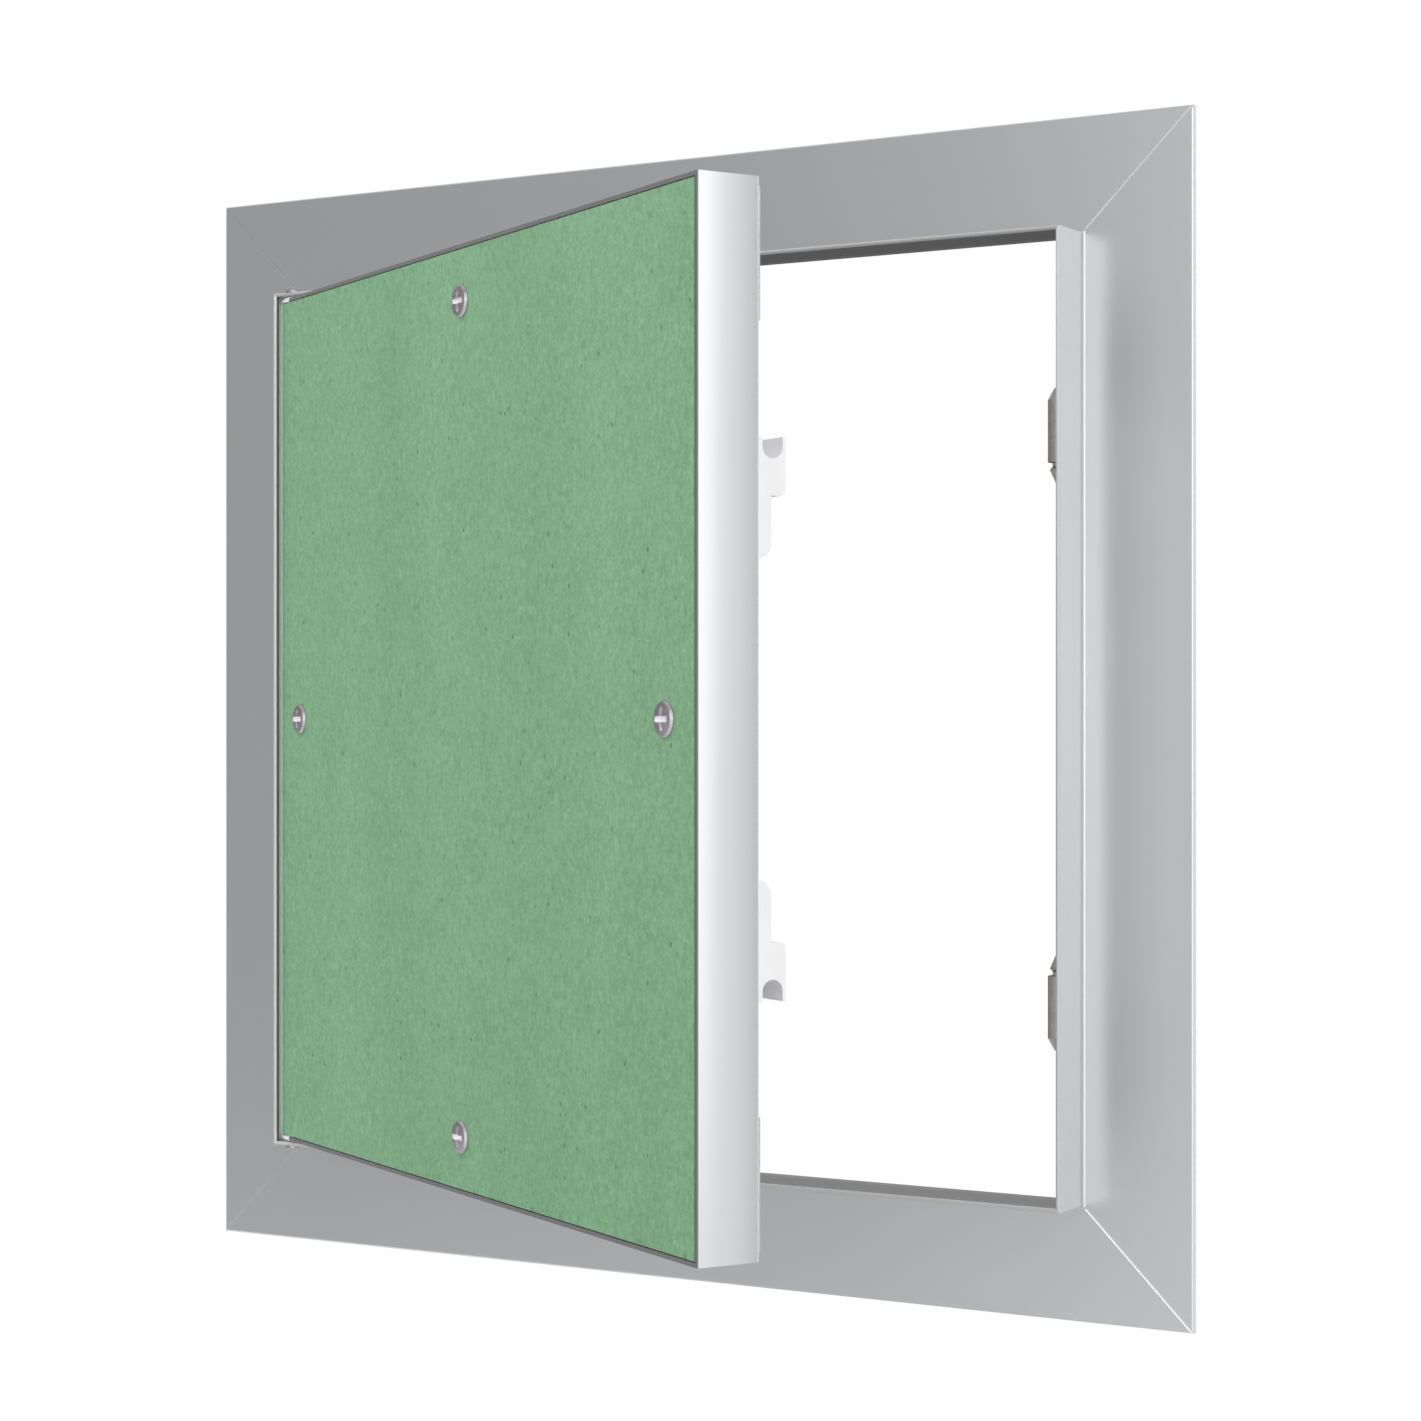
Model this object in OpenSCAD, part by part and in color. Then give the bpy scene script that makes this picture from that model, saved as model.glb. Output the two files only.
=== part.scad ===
// Access panel for a plasterboard ceiling or wall, drawn upright with its door part open.
// X runs to the right as seen from the room, Y runs into the void behind the panel, Z runs up.
// The origin is the middle of the opening, on the front face of the flange.
// All sizes are in millimetres and all angles in degrees.

/* [Frame] */
// Clear opening between the four lips
opening = 202; // [192:1:320]
// Wall of the upright lip
lip_wall = 0.9; // [0.8:0.1:1.6]
// Thickness of the board in the ceiling and in the door, and so the height of the lip
board_t = 12.5; // [9.5:0.5:15]
// Width of the flange outside the lip
flange_w = 24.5; // [24:0.5:40]
// Thickness of the flange
flange_t = 1.5; // [1.2:0.1:2]
// Radius in the corner between flange and lip
base_fillet = 0.6; // [0.3:0.1:1]
// Radius on the front of the flange's outer edge
flange_edge_r = 0.4; // [0.2:0.1:0.6]
// Width of the fine line along each mitre
mitre_line = 0.6; // [0.3:0.1:1]

/* [Corner keys] */
// Clear width of the channel on the back of the flange
channel_w = 13; // [12:0.5:14]
// Clear depth of that channel
channel_h = 3.6; // [3.4:0.1:4.4]
// Wall of the channel and thickness of its hooks
rib_t = 1; // [0.8:0.1:1.4]
// Reach of each hook over the channel
hook_w = 2; // [1.5:0.1:2.4]
// Thickness of a corner key
key_t = 2; // [1.5:0.1:2.5]
// Length of a key's leg, from the middle of the corner
key_leg = 34; // [28:1:40]
// Distance of a grub screw from the middle of the corner
grub_at = 20; // [14:1:24]
// Radius of a grub screw
grub_r = 2; // [1.5:0.1:2.2]

/* [Door] */
// Gap between the door and the lips
door_gap = 0.6; // [0.6:0.1:1.6]
// Wall of the door's edge profile
edge_wall = 0.8; // [0.7:0.1:1.2]
// Width of the rear leg of the edge profile
edge_leg = 22; // [20:1:30]
// Radius on the outer back corner of the edge profile
edge_back_r = 0.5; // [0.3:0.1:0.6]
// Shadow gap between the board and the edge profile
shadow_gap = 0.3; // [0.3:0.1:0.8]
// Thickness of the board's paper
paper_t = 0.35; // [0.25:0.05:0.4]
// Angle at which the door is drawn open
open_angle = 30; // [0:1:100]
// Distance of the board screws from the edge of the board
screw_inset = 11; // [9:0.5:14]
// Radius of a board screw's head
screw_head_r = 3.5; // [3:0.1:4]
// Radius of a board screw's shank
screw_r = 1.75; // [1.5:0.05:2]

/* [Door corner plates] */
// Thickness of a corner plate
plate_t = 1; // [0.6:0.1:1.2]
// Width of a plate's leg
plate_w = 16; // [14:1:18]
// Length of a plate's leg
plate_leg = 25; // [22:1:25]

/* [Hinge] */
// Distance of the hinge axis from the door's hinge edge
hinge_side = 3.2; // [3:0.1:4.2]
// Distance of the hinge axis behind the door's front
hinge_depth = 1.8; // [1.75:0.05:1.95]
// Radius of a hinge pin
pin_r = 1; // [0.8:0.05:1.1]
// Reach of a hinge pin into the door
pin_reach = 5; // [4:0.5:8]
// Radius of a hinge pin's head
pin_head_r = 1.7; // [1.4:0.1:1.75]
// Thickness of a hinge pin's head
pin_head_t = 0.5; // [0.4:0.1:0.8]
// Height of the bush's ring in the gap above the door
collar_t = 0.35; // [0.2:0.05:0.5]
// Wall of the bush's corner flange beyond its barrel
ear_wall = 0.3; // [0.2:0.05:0.6]

/* [Strike] */
// Height of a strike's outer end above the middle of the door
strike_z = 52.5; // [48:0.5:54]
// Length of a strike
strike_len = 22.8; // [20:0.2:24]
// Width of a strike along the door
strike_w = 12; // [11:0.5:14]
// Distance of a strike from the door's free edge
strike_inset = 1; // [0.5:0.1:2]
// Thickness of the strike's base
strike_base_t = 3.1; // [2.4:0.1:3.2]
// Length of the strike's head
strike_head_len = 11; // [10:0.5:12]
// Wall between the door and the groove
groove_front = 1.2; // [1.2:0.05:1.5]
// Wall behind the groove
groove_back = 0.6; // [0.5:0.05:1]
// Radius of the groove's round floor
groove_r = 2.2; // [2.15:0.05:2.4]
// Depth of the groove
groove_deep = 4.1; // [3.4:0.1:4.2]

/* [Catch] */
// Distance of the catch's axis from the lip
catch_inset = 6.2; // [5.6:0.1:7.5]
// Radius of the catch's barrel
barrel_r = 2.5; // [2.45:0.05:2.7]
// Length of the barrel
barrel_len = 15.8; // [15:0.1:17]
// Height of the barrel's mouth above the strike's outer end
mouth_gap = 1.9; // [1.8:0.1:2.4]
// Radius of the plunger's nose and piston
nose_r = 2; // [1.9:0.02:2.04]
// Radius of the plunger's waist
waist_r = 1.5; // [1.3:0.05:1.55]
// Depth to which the nose reaches into the groove
engage = 3; // [2.4:0.1:3.2]
// Travel of the plunger
travel = 3.4; // [3.3:0.1:3.5]
// Thickness of the catch's foot
foot_t = 1.6; // [1.4:0.1:2.4]
// Width of the foot along the frame
foot_w = 11; // [10:0.5:13]
// Radius of the spring's wire
wire_r = 0.2; // [0.16:0.02:0.24]
// Coils of the spring
coils = 6; // [5:1:7]

/* [Hidden] */
$fn = 64;

// Clearances: a loose fit, a running fit, and the overlap used to join shapes
loose = 0.05;
running = 0.06;
bush_running = 0.05;
press = 0.02;
joined = 0.2;
past = 1;

// Frame
lip_out = opening / 2 + lip_wall;
half_out = lip_out + flange_w;
channel_u = lip_out + flange_w / 2;
hook_under = flange_t + channel_h;
hook_back = hook_under + rib_t;
key_half = channel_w / 2 - joined;
key_y = hook_under - key_t - loose;
grub_proud = 0.4;
hex_r = 1.15;
hex_deep = 1.2;

// Door, whose board lies from -board_t to zero in Y
door_half = opening / 2 - door_gap;
board_half = door_half - edge_wall - shadow_gap;
door_back = edge_wall;
hinge_at = [-door_half + hinge_side, -board_t + hinge_depth, 0];
bush_r = hinge_depth - paper_t - loose;
bush_len = pin_reach + 1;
ear_x = hinge_side + bush_r + ear_wall;
ear_y = hinge_depth + bush_r + ear_wall;
screw_at = board_half - screw_inset;
screw_proud = 1.2;
screw_rim = 0.65;
rim_flat = 0.25;
rim_slope = 55;
screw_point = 1.6;
screw_past = 1;
recess_w = 1.15;
recess_r = 2.5;
recess_tip_r = 1.2;
recess_deep = 1.9;

// Small screws of the plates and strikes
small_r = 1.4;
small_head_r = 2.6;
small_head_t = 1.5;
small_slot_w = 0.8;
small_slot_len = 3.4;
small_slot_deep = 0.7;
small_grip = 6;
small_point = 1.4;
sink_t = 1.2;
plate_out = door_half - 1.5;
plate_hole = plate_leg - 6;

// Strike and catch
strike_x = door_half - strike_inset - strike_w / 2;
catch_x = opening / 2 - catch_inset;
strike_head_t = groove_front + 2 * groove_r + groove_back;
groove_y = door_back + groove_front + groove_r;
strike_screw_x = 3.2;
strike_screw_z = strike_z - strike_head_len - 5.4;
strike_head_round = 1.2;
mouth_z = strike_z + mouth_gap;
nose_tip_z = strike_z - engage;
nose_tip_r = 0.6;
nose_full_z = strike_z + 0.2;
nose_land = 0.3;
nose_neck = 0.5;
shoulder_z = nose_full_z + nose_land;
bore_r = nose_r + running;
bead_r = waist_r + running;
bead_z = shoulder_z + nose_neck + travel + joined;
bead_t = 0.8;
piston_z = bead_z + bead_t + loose;
piston_len = 2.5;
barrel_end = mouth_z + barrel_len;
end_bevel = 2.6;
end_r = barrel_r - 1.4;
bore_end = barrel_end - end_bevel - 0.4;
foot_z = bead_z + bead_t / 2 + 4.4;
foot_end = channel_u + channel_w / 2;
saddle_half = 1.7;
nut_t = 2.4;
nut_w = 10;
machine_r = 1.5;
machine_head_r = 2.75;
machine_head_t = 1.9;
machine_tip_y = flange_t + 0.4;

// Spring between the piston and the end of the bore
spring_lo = piston_z + piston_len + wire_r + loose;
spring_hi = bore_end - wire_r - loose;
spring_mean_r = bore_r - wire_r - joined;
wire_sides = 8;
coil_steps = 16;
closed_part = 0.16;

aluminium = [0.70, 0.71, 0.72];
satin = [0.78, 0.79, 0.80];
zinc = [0.49, 0.49, 0.47];
steel = [0.58, 0.58, 0.60];
nylon = [0.94, 0.94, 0.95];
gypsum = [0.90, 0.89, 0.86];
green_paper = [0.50, 0.67, 0.53];
grey_paper = [0.72, 0.70, 0.64];

// Shapes that several parts share

// Wedge that keeps one quarter of a square ring, between the two diagonals
module mitre_wedge(reach) {
    rotate([90, 0, 0])
        linear_extrude(height = 4 * board_t, center = true)
            polygon([[0, 0], [reach, reach], [reach, -reach]]);
}

// Puts a door part where the open door carries it
module on_door() {
    translate(hinge_at)
        rotate([0, 0, -open_angle])
            translate(-hinge_at)
                children();
}

// Cylinder along Y from one depth to another
module rod_y(r, y0, y1) {
    translate([0, y0, 0])
        rotate([-90, 0, 0])
            cylinder(r = r, h = y1 - y0);
}

// Cone along Y from one depth to another
module cone_y(r0, r1, y0, y1) {
    translate([0, y0, 0])
        rotate([-90, 0, 0])
            cylinder(r1 = r0, r2 = r1, h = y1 - y0);
}

// Cross slot with a flat floor, sunk from the plane Y = 0 towards positive Y
module cross_slot(w, len, deep) {
    translate([-len / 2, -past, -w / 2])
        cube([len, deep + past, w]);
    translate([-w / 2, -past, -len / 2])
        cube([w, deep + past, len]);
}

// Cross recess whose four wings slope inwards, sunk from the plane Y = 0 towards positive Y
module cross_recess(w, r, tip_r, deep) {
    flare = (r - tip_r) / deep;
    intersection() {
        cross_slot(w, 2 * (r + past), deep);
        cone_y(r + flare * past, tip_r, -past, deep);
    }
}

// Two copies, one above and one below the middle
module upper_and_lower() {
    children();
    mirror([0, 0, 1])
        children();
}

// Four copies, one for each side of the square
module each_side() {
    for (turn = [0:90:270])
        rotate([0, turn, 0])
            children();
}

// Frame

// Section of the frame: lip, flange and hooked channel, with X away from the opening
module frame_profile() {
    lip_r = lip_wall / 2;
    translate([opening / 2, lip_r - board_t])
        square([lip_wall, board_t + flange_t - lip_r]);
    translate([opening / 2 + lip_r, lip_r - board_t])
        circle(r = lip_r);
    difference() {
        translate([lip_out - joined, -base_fillet])
            square([base_fillet + joined, base_fillet + joined]);
        translate([lip_out + base_fillet, -base_fillet])
            circle(r = base_fillet);
    }
    difference() {
        translate([lip_out - joined, 0])
            square([flange_w + joined, flange_t]);
        difference() {
            translate([half_out - flange_edge_r, -past])
                square([flange_edge_r + past, flange_edge_r + past]);
            translate([half_out - flange_edge_r, flange_edge_r])
                circle(r = flange_edge_r);
        }
    }
    for (side = [-1, 1])
        translate([channel_u, 0])
            mirror([side < 0 ? 1 : 0, 0])
                channel_hook();
}

// One hooked wall of the channel, to the right of the channel's middle
module channel_hook() {
    translate([channel_w / 2, flange_t - joined])
        square([rib_t, channel_h + rib_t + joined]);
    translate([channel_w / 2 - hook_w, hook_under])
        square([hook_w + joined, rib_t]);
}

// Right-hand member of the frame, mitred at both ends
module frame_member() {
    line_side = mitre_line / sqrt(2);
    line_from = (lip_out + base_fillet) * sqrt(2);
    difference() {
        intersection() {
            linear_extrude(height = 2 * half_out, center = true)
                frame_profile();
            mitre_wedge(half_out + past);
        }
        upper_and_lower()
            rotate([0, -45, 0])
                translate([line_from, 0, 0])
                    rotate([45, 0, 0])
                        translate([0, -line_side / 2, -line_side / 2])
                            cube([flange_w * 2, line_side, line_side]);
    }
}

// Hole for a hinge pin through the top or the bottom lip
module pin_hole() {
    translate([hinge_at[0], hinge_at[1], door_half])
        cylinder(r = pin_r + press, h = lip_out - door_half + past);
}

module frame_right() {
    color(aluminium)
        frame_member();
}

module frame_left() {
    color(aluminium)
        rotate([0, 180, 0])
            frame_member();
}

module frame_top() {
    color(aluminium)
        difference() {
            rotate([0, -90, 0])
                frame_member();
            pin_hole();
        }
}

module frame_bottom() {
    color(aluminium)
        difference() {
            rotate([0, 90, 0])
                frame_member();
            mirror([0, 0, 1])
                pin_hole();
        }
}

// Corner keys

// Places of the two grub screws of the key in the top right corner
module grub_places() {
    translate([channel_u - grub_at, 0, channel_u])
        children();
    translate([channel_u, 0, channel_u - grub_at])
        children();
}

// Flat angle that joins two members, lifted against the hooks by its grub screws
module corner_key() {
    color(steel)
        difference() {
            union() {
                translate([channel_u - key_leg, key_y, channel_u - key_half])
                    cube([key_leg + key_half, key_t, 2 * key_half]);
                translate([channel_u - key_half, key_y, channel_u - key_leg])
                    cube([2 * key_half, key_t, key_leg + key_half]);
            }
            grub_places()
                rod_y(grub_r + press, key_y - past, key_y + key_t + past);
        }
}

module corner_key_top_right() {
    corner_key();
}

module corner_key_top_left() {
    rotate([0, -90, 0])
        corner_key();
}

module corner_key_bottom_left() {
    rotate([0, 180, 0])
        corner_key();
}

module corner_key_bottom_right() {
    rotate([0, 90, 0])
        corner_key();
}

// Grub screw with a hexagon socket in its back end
module grub_screw() {
    grub_back = key_y + key_t + grub_proud;
    difference() {
        rod_y(grub_r, flange_t, grub_back);
        translate([0, grub_back - hex_deep, 0])
            rotate([-90, 0, 0])
                cylinder(r = hex_r, h = hex_deep + past, $fn = 6);
    }
}

module key_screws() {
    color(zinc)
        each_side()
            grub_places()
                grub_screw();
}

// Hinge

// Headed pin, entered from outside the lip
module hinge_pin() {
    color(steel)
        translate([hinge_at[0], hinge_at[1], 0]) {
            translate([0, 0, door_half - pin_reach])
                cylinder(r = pin_r, h = lip_out - door_half + pin_reach + joined);
            translate([0, 0, lip_out])
                cylinder(r = pin_head_r, h = pin_head_t);
        }
}

module hinge_pin_upper() {
    hinge_pin();
}

module hinge_pin_lower() {
    mirror([0, 0, 1])
        hinge_pin();
}

// Bush whose flange fills the notched corner of the door's edge, with a ring that runs under the lip
module hinge_bush() {
    color(nylon)
        difference() {
            union() {
                translate([hinge_at[0], hinge_at[1], door_half - bush_len])
                    cylinder(r = bush_r, h = bush_len + collar_t);
                translate([-door_half, -board_t, door_half - edge_wall])
                    cube([ear_x, ear_y, edge_wall]);
            }
            translate([hinge_at[0], hinge_at[1], door_half - bush_len - past])
                cylinder(r = pin_r + bush_running, h = bush_len + collar_t + 2 * past);
        }
}

module hinge_bush_upper() {
    on_door()
        hinge_bush();
}

module hinge_bush_lower() {
    on_door()
        mirror([0, 0, 1])
            hinge_bush();
}

// Room for the upper bush in the edge profiles and in the board
module bush_room() {
    translate([hinge_at[0], hinge_at[1], door_half - bush_len - loose])
        cylinder(r = bush_r + press, h = bush_len + past);
    translate([-door_half - past, -board_t - past, door_half - edge_wall - shadow_gap / 2])
        cube([ear_x + past + loose, ear_y + past + loose, edge_wall + shadow_gap + past]);
}

// Catch

// Barrel with a closed end, on a foot that lies across the hooks of the frame's channel
module catch_body() {
    color(zinc)
        difference() {
            union() {
                translate([catch_x, groove_y, mouth_z])
                    cylinder(r = barrel_r, h = barrel_len - end_bevel);
                translate([catch_x, groove_y, barrel_end - end_bevel])
                    cylinder(r1 = barrel_r, r2 = end_r, h = end_bevel);
                translate([catch_x - saddle_half, groove_y, foot_z - foot_w / 2])
                    cube([2 * saddle_half, hook_back + foot_t - groove_y, foot_w]);
                translate([catch_x, hook_back, foot_z - foot_w / 2])
                    cube([foot_end - catch_x - foot_w / 2, foot_t, foot_w]);
                translate([foot_end - foot_w / 2, 0, foot_z])
                    rod_y(foot_w / 2, hook_back, hook_back + foot_t);
            }
            translate([catch_x, groove_y, mouth_z - past])
                cylinder(r = bore_r, h = bead_z - mouth_z + past);
            translate([catch_x, groove_y, bead_z - past])
                cylinder(r = bead_r, h = bead_t + 2 * past);
            translate([catch_x, groove_y, bead_z + bead_t])
                cylinder(r = bore_r, h = bore_end - bead_z - bead_t);
            translate([channel_u, 0, foot_z])
                rod_y(machine_r + loose, hook_back - past, hook_back + foot_t + past);
        }
}

module catch_body_upper() {
    catch_body();
}

module catch_body_lower() {
    mirror([0, 0, 1])
        catch_body();
}

// Plunger turned from one bar: blunt nose, waist that clears the rolled bead, and piston
module catch_plunger() {
    waist_from = shoulder_z + nose_neck;
    color(steel)
        translate([catch_x, groove_y, 0])
            rotate_extrude()
                polygon([[0, nose_tip_z], [nose_tip_r, nose_tip_z], [nose_r, nose_full_z],
                    [nose_r, shoulder_z], [waist_r, waist_from], [waist_r, piston_z],
                    [nose_r, piston_z], [nose_r, piston_z + piston_len], [0, piston_z + piston_len]]);
}

module catch_plunger_upper() {
    catch_plunger();
}

module catch_plunger_lower() {
    mirror([0, 0, 1])
        catch_plunger();
}

// Height of the spring's wire at a part of its length from 0 to 1, closed up at both ends
function wire_z(part) = spring_lo + (spring_hi - spring_lo) * wire_climb(part);
function wire_climb(part) =
    let (end_rise = 2 * wire_r / (spring_hi - spring_lo))
    part < closed_part ? end_rise * part / closed_part :
    part > 1 - closed_part ? 1 - end_rise * (1 - part) / closed_part :
    end_rise + (1 - 2 * end_rise) * (part - closed_part) / (1 - 2 * closed_part);

// Ring of points round the wire where it has turned through an angle
function wire_ring(turned, z) =
    [for (side = [0:wire_sides - 1])
        let (round = 360 * side / wire_sides, out = spring_mean_r + wire_r * cos(round))
        [out * cos(turned), out * sin(turned), z + wire_r * sin(round)]];

// Compression spring behind the piston
module catch_spring() {
    rings = coils * coil_steps;
    points = [for (i = [0:rings]) each wire_ring(360 * i / coil_steps, wire_z(i / rings))];
    sides = [for (i = [0:rings - 1], j = [0:wire_sides - 1])
        let (next = (j + 1) % wire_sides)
        [i * wire_sides + j, (i + 1) * wire_sides + j, (i + 1) * wire_sides + next, i * wire_sides + next]];
    first_cap = [for (j = [0:wire_sides - 1]) j];
    last_cap = [for (j = [wire_sides - 1:-1:0]) rings * wire_sides + j];
    color(steel)
        translate([catch_x, groove_y, 0])
            polyhedron(points = points, faces = concat(sides, [first_cap, last_cap]));
}

module catch_spring_upper() {
    catch_spring();
}

module catch_spring_lower() {
    mirror([0, 0, 1])
        catch_spring();
}

// Nut that slides in the frame's channel
module slot_nut() {
    color(steel)
        difference() {
            translate([channel_u - key_half, hook_under - nut_t - loose, foot_z - nut_w / 2])
                cube([2 * key_half, nut_t, nut_w]);
            translate([channel_u, 0, foot_z])
                rod_y(machine_r + press, flange_t, hook_back);
        }
}

module slot_nut_upper() {
    slot_nut();
}

module slot_nut_lower() {
    mirror([0, 0, 1])
        slot_nut();
}

// Machine screw that clamps the foot to the nut
module machine_screw() {
    head_y = hook_back + foot_t;
    difference() {
        union() {
            rod_y(machine_r, machine_tip_y, head_y + joined);
            rod_y(machine_head_r, head_y, head_y + machine_head_t);
        }
        translate([0, head_y + machine_head_t, 0])
            mirror([0, 1, 0])
                cross_slot(small_slot_w, small_slot_len, small_slot_deep);
    }
}

module catch_screws() {
    color(zinc)
        upper_and_lower()
            translate([channel_u, 0, foot_z])
                machine_screw();
}

// Door

// Section of the edge profile: side wall and rear leg
module edge_profile() {
    difference() {
        union() {
            translate([door_half - edge_wall, -board_t])
                square([edge_wall, board_t + door_back]);
            translate([door_half - edge_leg, 0])
                square([edge_leg, door_back]);
        }
        difference() {
            translate([door_half - edge_back_r, door_back - edge_back_r])
                square([edge_back_r + past, edge_back_r + past]);
            translate([door_half - edge_back_r, door_back - edge_back_r])
                circle(r = edge_back_r);
        }
    }
}

// Right-hand member of the door's edge, mitred at both ends, with its screw holes
module edge_member() {
    difference() {
        intersection() {
            linear_extrude(height = 2 * door_half, center = true)
                edge_profile();
            mitre_wedge(door_half + past);
        }
        translate([screw_at, 0, 0])
            rod_y(screw_r + loose, -past, door_back + past);
        upper_and_lower()
            plate_places()
                rod_y(small_r + loose, -past, door_back + past);
    }
}

module door_edge_right() {
    color(satin)
        on_door()
            difference() {
                edge_member();
                strike_places()
                    rod_y(small_r + loose, -past, door_back + past);
            }
}

module door_edge_left() {
    color(satin)
        on_door()
            difference() {
                rotate([0, 180, 0])
                    edge_member();
                upper_and_lower()
                    bush_room();
            }
}

module door_edge_top() {
    color(satin)
        on_door()
            difference() {
                rotate([0, -90, 0])
                    edge_member();
                bush_room();
            }
}

module door_edge_bottom() {
    color(satin)
        on_door()
            difference() {
                rotate([0, 90, 0])
                    edge_member();
                mirror([0, 0, 1])
                    bush_room();
            }
}

// Places of the two screws of the plate in the top right corner
module plate_places() {
    translate([plate_out - plate_hole, 0, plate_out - plate_w / 2])
        children();
    translate([plate_out - plate_w / 2, 0, plate_out - plate_hole])
        children();
}

// Flat angle that joins two edge members on the back of the door
module door_plate() {
    color(steel)
        difference() {
            union() {
                translate([plate_out - plate_leg, door_back, plate_out - plate_w])
                    cube([plate_leg, plate_t, plate_w]);
                translate([plate_out - plate_w, door_back, plate_out - plate_leg])
                    cube([plate_w, plate_t, plate_leg]);
            }
            plate_places()
                rod_y(small_r + loose, door_back - past, door_back + plate_t + past);
        }
}

module door_plate_top_right() {
    on_door()
        door_plate();
}

module door_plate_top_left() {
    on_door()
        rotate([0, -90, 0])
            door_plate();
}

module door_plate_bottom_left() {
    on_door()
        rotate([0, 180, 0])
            door_plate();
}

module door_plate_bottom_right() {
    on_door()
        rotate([0, 90, 0])
            door_plate();
}

// Tapping screw driven from the back of the door, with its shank in the board
module small_shank(seat_y) {
    rod_y(small_r, small_point - small_grip, seat_y + joined);
    cone_y(joined, small_r, -small_grip, small_point - small_grip);
}

// Room for that shank in the board
module small_room() {
    rod_y(small_r + loose, -small_grip - loose, past);
}

module plate_screw() {
    seat_y = door_back + plate_t;
    difference() {
        union() {
            small_shank(seat_y);
            rod_y(small_head_r, seat_y, seat_y + small_head_t);
        }
        translate([0, seat_y + small_head_t, 0])
            mirror([0, 1, 0])
                cross_slot(small_slot_w, small_slot_len, small_slot_deep);
    }
}

module plate_screws() {
    color(zinc)
        on_door()
            each_side()
                plate_places()
                    plate_screw();
}

// Board

// One layer of the board, drilled for the board screws
module board_layer(y0, y1) {
    difference() {
        translate([-board_half, y0, -board_half])
            cube([2 * board_half, y1 - y0, 2 * board_half]);
        each_side()
            translate([screw_at, 0, 0])
                rod_y(screw_r + loose, y0 - past, y1 + past);
    }
}

// Holes that the small screws make in the back of the board
module back_holes() {
    each_side()
        plate_places()
            small_room();
    strike_places()
        small_room();
}

module board_core() {
    color(gypsum)
        on_door()
            difference() {
                board_layer(paper_t - board_t, -paper_t);
                back_holes();
                upper_and_lower()
                    bush_room();
            }
}

module board_face_paper() {
    color(green_paper)
        on_door()
            board_layer(-board_t, paper_t - board_t);
}

module board_back_paper() {
    color(grey_paper)
        on_door()
            difference() {
                board_layer(-paper_t, 0);
                back_holes();
            }
}

// Screw with a low domed head, a bevelled rim, a cross recess and a point behind the door
module board_screw() {
    dome = screw_proud - screw_rim;
    dome_r = (screw_head_r * screw_head_r + dome * dome) / (2 * dome);
    bevel = 1 / tan(rim_slope);
    difference() {
        union() {
            intersection() {
                rod_y(screw_head_r, -board_t - screw_proud, -board_t);
                cone_y(screw_head_r - (screw_proud - rim_flat) * bevel, screw_head_r + rim_flat * bevel,
                    -board_t - screw_proud, -board_t);
                translate([0, dome_r - screw_proud - board_t, 0])
                    sphere(r = dome_r);
            }
            rod_y(screw_r, -board_t - joined, door_back + screw_past);
            cone_y(screw_r, joined, door_back + screw_past, door_back + screw_past + screw_point);
        }
        translate([0, -board_t - screw_proud, 0])
            cross_recess(recess_w, recess_r, recess_tip_r, recess_deep);
    }
}

module board_screws() {
    color(steel)
        on_door()
            each_side()
                translate([screw_at, 0, 0])
                    board_screw();
}

// Strike

// Places of the two screws of each strike
module strike_places() {
    upper_and_lower()
        for (side = [-1, 1])
            translate([strike_x + side * strike_screw_x, 0, strike_screw_z])
                children();
}

// Outline of the strike seen along the door: X is the depth behind the door, Y is the height
module strike_outline() {
    foot_end_z = strike_z - strike_len;
    head_z = strike_z - strike_head_len;
    difference() {
        union() {
            translate([0, foot_end_z + strike_base_t])
                square([strike_base_t, strike_len - strike_base_t]);
            intersection() {
                translate([0, foot_end_z + strike_base_t])
                    circle(r = strike_base_t);
                translate([0, foot_end_z])
                    square([strike_base_t, strike_base_t + joined]);
            }
            translate([0, head_z + strike_head_round])
                square([strike_head_t, strike_head_len - strike_head_round]);
            translate([0, head_z])
                square([strike_head_t - strike_head_round, strike_head_round + joined]);
            translate([strike_head_t - strike_head_round, head_z + strike_head_round])
                circle(r = strike_head_round);
        }
        translate([groove_front, strike_z - groove_deep + groove_r])
            square([2 * groove_r, groove_deep]);
        translate([groove_front + groove_r, strike_z - groove_deep + groove_r])
            circle(r = groove_r);
    }
}

// Moulded strike whose groove takes the nose of the plunger when the door is shut
module strike() {
    difference() {
        translate([strike_x - strike_w / 2, door_back, 0])
            rotate([90, 0, 90])
                linear_extrude(height = strike_w)
                    strike_outline();
        strike_places() {
            rod_y(small_r + loose, door_back - past, door_back + strike_base_t + past);
            cone_y(small_r + loose, small_head_r + loose,
                door_back + strike_base_t - sink_t, door_back + strike_base_t + press);
        }
    }
}

module strike_upper() {
    color(nylon)
        on_door()
            strike();
}

module strike_lower() {
    color(nylon)
        on_door()
            mirror([0, 0, 1])
                strike();
}

// Countersunk screw, flush with the strike's base
module strike_screw() {
    seat_y = door_back + strike_base_t;
    difference() {
        union() {
            small_shank(seat_y - sink_t);
            cone_y(small_r, small_head_r, seat_y - sink_t, seat_y);
        }
        translate([0, seat_y, 0])
            mirror([0, 1, 0])
                cross_slot(small_slot_w, small_slot_len, small_slot_deep);
    }
}

module strike_screws() {
    color(zinc)
        on_door()
            strike_places()
                strike_screw();
}

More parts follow.
